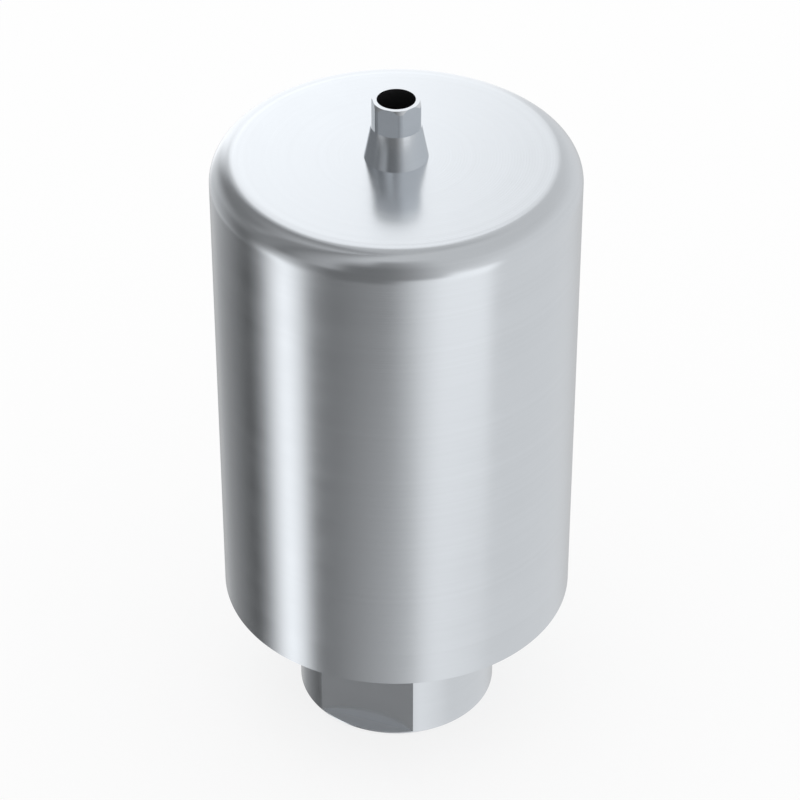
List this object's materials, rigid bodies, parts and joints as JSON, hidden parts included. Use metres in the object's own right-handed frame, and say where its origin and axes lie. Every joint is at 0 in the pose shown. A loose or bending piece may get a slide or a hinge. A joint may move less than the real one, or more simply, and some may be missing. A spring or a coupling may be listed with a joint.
{
  "type": "dental abutment blank",
  "caption": "Pre-milled titanium abutment blank: a round body with a clamp stub below and a tapered hexagon implant connection on top.",
  "frame": {"origin": "centre of the clamp stub's end face, which the blank stands on", "axes": "+Z along the axis from the stub to the implant connection, -Y out of the stub's index flat, +X to its right"},
  "size_m": [0.014, 0.014, 0.0279],
  "materials": {
    "titanium": "satin turned and milled titanium alloy, bare metal"
  },
  "bodies": {
    "root": {"abutment_blank": "titanium"}
  },
  "joints": []
}
